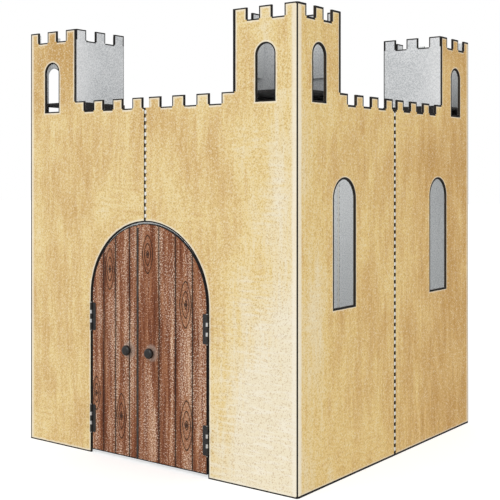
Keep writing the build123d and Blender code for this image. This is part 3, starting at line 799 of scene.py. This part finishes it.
def new_tree(name, sizes):
    """A geometry tree with named inputs: guide geometry, sizes in metres and a material."""
    tree = bpy.data.node_groups.new(name, "GeometryNodeTree")
    tree.interface.new_socket("Guide", in_out="INPUT", socket_type=GEOMETRY)
    tree.interface.new_socket("Made", in_out="OUTPUT", socket_type=GEOMETRY)
    for size in sizes:
        tree.interface.new_socket(size, in_out="INPUT", socket_type="NodeSocketFloat")
    tree.interface.new_socket("Material", in_out="INPUT", socket_type="NodeSocketMaterial")
    given = add(tree, "NodeGroupInput", out=EVERY)
    return tree, {socket.name: socket for socket in given}


def end_tree(tree, given, instances):
    """Make the instances real, give them the material and send them out."""
    real = add(tree, "GeometryNodeRealizeInstances", (instances,))
    finished = add(tree, "GeometryNodeSetMaterial", {"Geometry": real, "Material": given["Material"]})
    add(tree, "NodeGroupOutput", (finished,))


def grow(name, tree, values, points, edges=(), **attributes):
    """Run a tree over guide points and keep what it makes as a plain mesh at the origin."""
    guide = bpy.data.meshes.new(name + "_guide")
    guide.from_pydata(points, edges, [])
    for key, numbers in attributes.items():
        guide.attributes.new(key, "FLOAT", "POINT").data.foreach_set("value", numbers)
    holder = new_object(name + "_guide", guide)
    modifier = holder.modifiers.new(name, "NODES")
    modifier.node_group = tree
    for item in tree.interface.items_tree:
        if item.name in values:
            modifier[item.identifier] = values[item.name]
    bpy.context.view_layer.update()
    evaluated = holder.evaluated_get(bpy.context.evaluated_depsgraph_get())
    mesh = bpy.data.meshes.new_from_object(evaluated)
    mesh.materials.pop(index=0)          # the guide's own empty slot
    holder.modifiers.remove(modifier)
    bpy.data.objects.remove(holder)
    piece = new_object(name, mesh)
    print(name, len(mesh.polygons), "faces in", mesh.materials[mesh.polygons[0].material_index].name)
    return piece


# %% [markdown]
# ## Seam lacing
# The four sheets are laced together with white cotton tape. Each stitch crosses the seam outside, goes
# back through a slot in each sheet and meets the next one inside. A flat oval swept round a small
# rounded loop gives the tape's soft edges, and a loop costs only some sixty faces.

# %% The lacing tree
TAPE = 1.5 * MM
STITCH_HIGH = 13 * MM
STITCH_PITCH = 25 * MM
PUCKER = 0.6              # how narrow the tape is drawn where it enters a slot
BEND = 0.3                # where that starts, in stitch widths from the seam
LINK = 0.8                # the link inside, as a part of the stitch's width and thickness


def lacing_tree():
    """A stitch at each step up the guide lines, and a link down to the one below."""
    tree, given = new_tree("seam_lacing", ("Pitch", "Width", "Height", "Depth", "Tape"))
    loop_width = add(tree, MATH, (given["Width"], given["Tape"]), operation="SUBTRACT")
    loop_depth = add(tree, MATH, (given["Depth"], given["Tape"]), operation="SUBTRACT")
    loop = add(tree, "GeometryNodeCurvePrimitiveQuadrilateral", (loop_width, loop_depth))
    loop = add(tree, "GeometryNodeSetCurveNormal", (loop,), mode="Z_UP")
    loop = add(tree, "GeometryNodeFilletCurve", {"Curve": loop, "Count": 1, "Radius": given["Tape"]},
               mode="POLY")
    place = add(tree, "GeometryNodeInputPosition")
    across, _, _ = add(tree, SPLIT, (place,), out=EVERY)
    off_seam = add(tree, MATH, (across,), operation="ABSOLUTE")
    slot = add(tree, MATH, (loop_width, 0.5), operation="MULTIPLY")
    bend = add(tree, MATH, (loop_width, BEND), operation="MULTIPLY")
    pucker = add(tree, FADE, (off_seam, bend, slot, 1.0, PUCKER))
    loop = add(tree, "GeometryNodeSetCurveRadius", {"Curve": loop, "Radius": pucker})
    oval = add(tree, "GeometryNodeCurvePrimitiveCircle", {"Resolution": 8, "Radius": 0.5})
    section = add(tree, XYZ, (given["Tape"], given["Height"], 1.0))
    oval = add(tree, MOVE, {"Geometry": oval, "Scale": section})
    stitch = add(tree, "GeometryNodeCurveToMesh", {"Curve": loop, "Profile Curve": oval})
    stitch = add(tree, "GeometryNodeSetShadeSmooth", (stitch,))

    # a flat link of tape inside, down to the stitch below
    flat = add(tree, MATH, (given["Tape"], LINK), operation="MULTIPLY")
    narrow = add(tree, MATH, (given["Width"], LINK), operation="MULTIPLY")
    size = add(tree, XYZ, (narrow, flat, given["Pitch"]))
    link = add(tree, "GeometryNodeMeshCube", {"Size": size})
    inner = add(tree, MATH, (loop_depth, 0.5), operation="MULTIPLY")
    down = add(tree, MATH, (given["Pitch"], -0.5), operation="MULTIPLY")
    shift = add(tree, XYZ, (0.0, inner, down))
    link = add(tree, MOVE, {"Geometry": link, "Translation": shift})

    seam = add(tree, "GeometryNodeMeshToCurve", (given["Guide"],))
    points = add(tree, "GeometryNodeCurveToPoints", {"Curve": seam, "Length": given["Pitch"]}, mode="LENGTH")
    turn = add(tree, "GeometryNodeInputNamedAttribute", {"Name": "turn"}, data_type="FLOAT")
    turn = add(tree, XYZ, (0.0, 0.0, turn))
    turn = add(tree, "FunctionNodeEulerToRotation", (turn,))
    climb = add(tree, "GeometryNodeInputNamedAttribute", {"Name": "climb"}, data_type="FLOAT")
    later = add(tree, MATH, (climb, 0.001), operation="GREATER_THAN")
    stitches = add(tree, INSTANCE, {"Points": points, "Instance": stitch, "Rotation": turn})
    links = add(tree, INSTANCE, {"Points": points, "Selection": later, "Instance": link, "Rotation": turn})
    both = add(tree, JOIN, (stitches,))
    tree.links.new(links, both.node.inputs[0])
    end_tree(tree, given, both)
    return tree


print("lacing tree has", len(lacing_tree().nodes), "nodes")

# %% The woven tape
RIB = 1.2 * MM            # one weft thread, drawn a little coarser than real so that it shows


def woven_tape():
    """White cotton: dull, with the ribs of its weft."""
    material, tree, place = new_material("white_cotton_tape")
    wave = add(tree, "ShaderNodeTexWave", {"Vector": place, "Scale": math.pi / (10 * RIB), "Distortion": 0.6},
               out="Fac", bands_direction="Z")
    colour = coated(tree, rgb("#dedbd0"), (wave, rgb("#fbfaf5")))
    close_material(tree, colour, 0.9, wave, 0.15 * MM, **{"Sheen Weight": 0.2})
    return material


tape_material = woven_tape()
print("tape ribs", RIB, "m apart")

# %% Lace the four seams


def lace_seams():
    """Guide lines run up the seams. turn is each wall's direction, climb is 0 at the lowest stitch."""
    turns = {"front": 0, "right": 90, "rear": 180, "left": -90}
    points, edges, turn, climb = [], [], [], []
    for wall, degrees in turns.items():
        low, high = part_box(wall + "_seam_lacing")
        x, y, _ = middle_of(wall + "_seam_lacing")
        top = high[2] - STITCH_HIGH / 2 + STITCH_PITCH / 4      # a quarter more, so that none is lost
        edges.append((len(points), len(points) + 1))
        points += [(x, y, low[2] + STITCH_HIGH / 2), (x, y, top)]
        turn += [math.radians(degrees)] * 2
        climb += [0.0, 1.0]
    low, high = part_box("front_seam_lacing")
    values = {"Pitch": STITCH_PITCH, "Width": high[0] - low[0], "Height": STITCH_HIGH,
              "Depth": high[1] - low[1], "Tape": TAPE, "Material": tape_material}
    return grow("seam_stitches", bpy.data.node_groups["seam_lacing"], values, points, edges,
                turn=turn, climb=climb)


stitches = lace_seams()
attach(stitches, "castle")
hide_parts(*[wall + "_seam_lacing" for wall in ("front", "right", "rear", "left")])

# %% [markdown]
# ## Rivets
# Three rivets hold each hinge leaf. A rivet is a shank with a dome pressed on outside and a flat head
# inside. Half of a squashed ball is hidden in the plate, which is cheaper than cutting it off.

# %% The rivet tree
RIVETS = 3
RIVET_SPACING = 36 * MM
SHANK = 1.6 * MM
HEAD_HIGH = 1.3 * MM


def rivet_tree():
    """A row of rivets through a hinge leaf at each guide point."""
    tree, given = new_tree("hinge_rivets", ("Spacing", "Shank", "Head", "Head height", "Grip"))
    ball = add(tree, "GeometryNodeMeshUVSphere", {"Segments": 10, "Rings": 6, "Radius": 1.0})
    squash = add(tree, XYZ, (given["Head"], given["Head height"], given["Head"]))
    half_grip = add(tree, MATH, (given["Grip"], 0.5), operation="MULTIPLY")
    outer = add(tree, MATH, (half_grip, -1.0), operation="MULTIPLY")
    outer = add(tree, XYZ, (0.0, outer, 0.0))
    dome = add(tree, MOVE, {"Geometry": ball, "Translation": outer, "Scale": squash})
    dome = add(tree, "GeometryNodeSetShadeSmooth", (dome,))
    lying = (math.pi / 2, 0.0, 0.0)
    shank = add(tree, "GeometryNodeMeshCylinder",
                {"Vertices": 8, "Radius": given["Shank"], "Depth": given["Grip"]})
    shank = add(tree, MOVE, {"Geometry": shank, "Rotation": lying})
    disc = add(tree, "GeometryNodeMeshCylinder",
               {"Vertices": 10, "Radius": given["Head"], "Depth": given["Head height"]})
    inner = add(tree, MATH, (given["Head height"], 0.5, half_grip), operation="MULTIPLY_ADD")
    inner = add(tree, XYZ, (0.0, inner, 0.0))
    disc = add(tree, MOVE, {"Geometry": disc, "Translation": inner, "Rotation": lying})
    rivet = add(tree, JOIN, (dome,))
    for part in (shank, disc):
        tree.links.new(part, rivet.node.inputs[0])

    first = add(tree, MATH, (given["Spacing"], -(RIVETS - 1) / 2), operation="MULTIPLY")
    first = add(tree, XYZ, (0.0, 0.0, first))
    step = add(tree, XYZ, (0.0, 0.0, given["Spacing"]))
    row = add(tree, "GeometryNodeMeshLine", {"Count": RIVETS, "Start Location": first, "Offset": step})
    rows = add(tree, INSTANCE, {"Points": given["Guide"], "Instance": row})
    rows = add(tree, "GeometryNodeRealizeInstances", (rows,))
    end_tree(tree, given, add(tree, INSTANCE, {"Points": rows, "Instance": rivet}))
    return tree


print("rivet tree has", len(rivet_tree().nodes), "nodes")

# %% Set the rivets


def set_rivets(name, replaced, body, material):
    """One row of rivets at the middle of each hinge, where the frame's own rivets are."""
    points = []
    for node in replaced:
        low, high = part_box(node)
        x, y, _ = middle_of(node)
        for level in ("lower", "upper"):
            plate = middle_of(f"{node.split('_')[0]}_{level}_hinge_plate")
            points.append((x, y, plate[2]))
    values = {"Spacing": RIVET_SPACING, "Shank": SHANK, "Head": (high[0] - low[0]) / 2,
              "Head height": HEAD_HIGH, "Grip": high[1] - low[1] - 2 * HEAD_HIGH, "Material": material}
    rivets = grow(name, bpy.data.node_groups["hinge_rivets"], values, points)
    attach(rivets, body)
    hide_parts(*replaced)


set_rivets("left_door_hinge_rivets", ["left_door_rivets"], "door_left", black_steel)
set_rivets("right_door_hinge_rivets", ["right_door_rivets"], "door_right", black_steel)
set_rivets("wall_hinge_rivets", ["left_jamb_rivets", "right_jamb_rivets"], "castle", tan_steel)

# %% [markdown]
# ## Floor and light
# A white floor lies under a white sky, with one broad soft lamp from the front right, so that both
# walls are lit and the soft shadow falls behind. The floor and sky look fully white to the camera, but
# they light the castle at a plain level, so that its colours stay as they are written.

# %% Floor
FLOOR_SIZE = 60.0
FLOOR_GLOW = 0.42         # added for the camera alone


def make_floor():
    mesh = bpy.data.meshes.new("floor")
    half = FLOOR_SIZE / 2
    corners = [(-half, -half, 0), (half, -half, 0), (half, half, 0), (-half, half, 0)]
    mesh.from_pydata(corners, [], [(0, 1, 2, 3)])
    floor = new_object("floor", mesh)
    material, tree, _ = new_material("white_floor")
    seen = add(tree, "ShaderNodeLightPath", out="Is Camera Ray")
    glow = add(tree, MATH, (seen, FLOOR_GLOW), operation="MULTIPLY")
    surface = add(tree, "ShaderNodeBsdfPrincipled",
                  {"Base Color": rgb("#e9e9e9"), "Roughness": 0.95, "Specular IOR Level": 0.0,
                   "Emission Color": (1, 1, 1, 1), "Emission Strength": glow})
    add(tree, "ShaderNodeOutputMaterial", (surface,))
    floor.data.materials.append(material)
    return floor


print("floor", make_floor().name)

# %% Sky and lamp
SKY_LEVEL = 0.78
LAMP_LEVEL = 0.80
LAMP_TILT = 52            # degrees from straight down
LAMP_TURN = 25            # degrees towards the right of the front
LAMP_SOFTNESS = 40        # degrees across, which blurs the shadow


def make_sky():
    world = bpy.data.worlds.new("sky")
    world.use_nodes = True
    tree = world.node_tree
    tree.nodes.clear()
    camera, glossy, clear = (add(tree, "ShaderNodeLightPath", out=f"Is {ray} Ray")
                             for ray in ("Camera", "Glossy", "Transmission"))
    seen = add(tree, MATH, (camera, glossy), operation="MAXIMUM")
    seen = add(tree, MATH, (seen, clear), operation="MAXIMUM")
    level = add(tree, MATH, (seen, 1 - SKY_LEVEL, SKY_LEVEL), operation="MULTIPLY_ADD")
    sky = add(tree, "ShaderNodeBackground", {"Color": (1, 1, 1, 1), "Strength": level})
    add(tree, "ShaderNodeOutputWorld", (sky,))
    bpy.context.scene.world = world


def make_lamp():
    data = bpy.data.lights.new("soft_lamp", "SUN")
    data.energy = LAMP_LEVEL
    data.angle = math.radians(LAMP_SOFTNESS)
    lamp = new_object("soft_lamp", data)
    lamp.rotation_euler = (math.radians(LAMP_TILT), 0, math.radians(LAMP_TURN))


make_sky()
make_lamp()
bpy.context.scene.view_settings.view_transform = "Standard"
print("sky", SKY_LEVEL, "lamp", LAMP_LEVEL)
